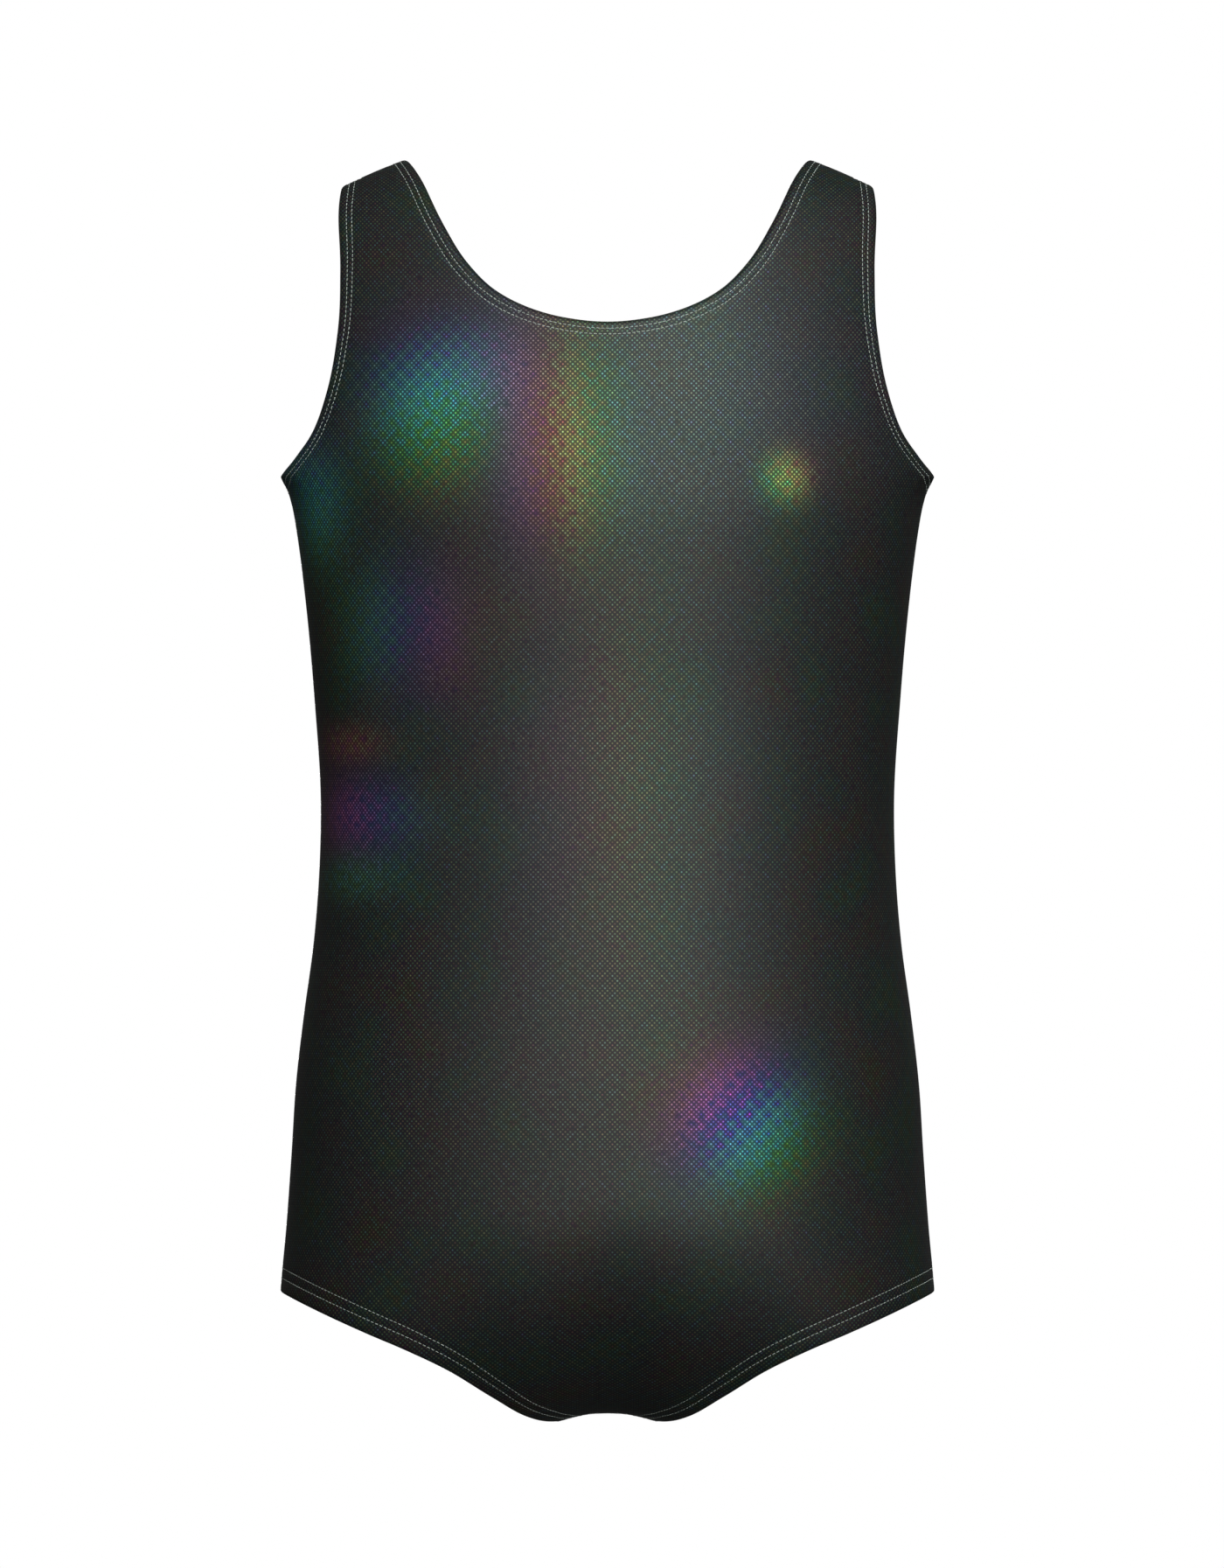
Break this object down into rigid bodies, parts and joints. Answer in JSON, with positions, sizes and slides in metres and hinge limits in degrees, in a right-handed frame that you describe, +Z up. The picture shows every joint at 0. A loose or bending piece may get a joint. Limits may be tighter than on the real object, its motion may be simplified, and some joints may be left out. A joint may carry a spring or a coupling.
{
  "type": "tank leotard",
  "caption": "Sleeveless tank leotard in dark holographic foil knit, scoop neck, turned stitched hems, filled out as worn, open at neck, arms and legs.",
  "frame": {"origin": "midway between the inner tops of the two shoulder straps, on the shoulder seams", "axes": "+Z up along the worn garment, +Y towards the back so the front faces -Y, +X towards the wearer's left"},
  "size_m": [0.26, 0.1704, 0.5001],
  "materials": {
    "foil_knit": "black stretch knit with a fine lattice of holographic foil dots",
    "turned_hem": "turned edge of the same knit over elastic, with pale twin-needle stitching"
  },
  "bodies": {
    "root": {"front_panel": "foil_knit", "back_panel": "foil_knit", "neck_hem": "turned_hem", "armhole_hem_left": "turned_hem", "armhole_hem_right": "turned_hem", "leg_hem_left": "turned_hem", "leg_hem_right": "turned_hem"}
  },
  "joints": []
}
